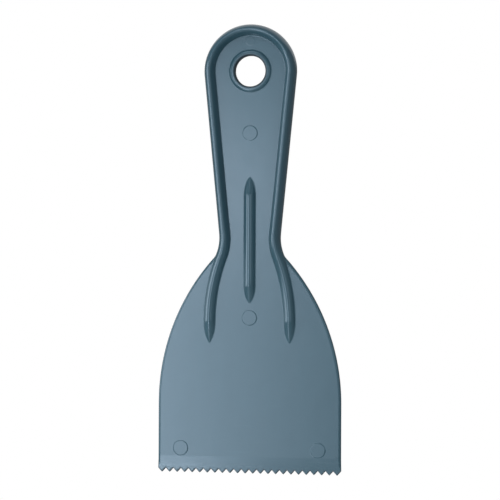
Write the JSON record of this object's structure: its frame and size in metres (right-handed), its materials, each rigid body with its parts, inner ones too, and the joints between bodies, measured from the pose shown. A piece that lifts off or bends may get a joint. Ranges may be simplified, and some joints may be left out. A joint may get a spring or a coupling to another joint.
{
  "type": "notched spreader",
  "caption": "One-piece plastic notched spreader: fan-shaped blade with a V-notched edge, ribbed handle and hanging hole.",
  "frame": {"origin": "centre of the hanging hole, half way through the thickness", "axes": "+Z along the handle, away from the blade; +X across the blade; the front face, which has the ejector marks, looks along -Y"},
  "size_m": [0.0762, 0.01, 0.1846],
  "materials": {
    "moulded_plastic": "satin moulded, blue grey"
  },
  "bodies": {
    "root": {"spreader_body": "moulded_plastic"}
  },
  "joints": []
}
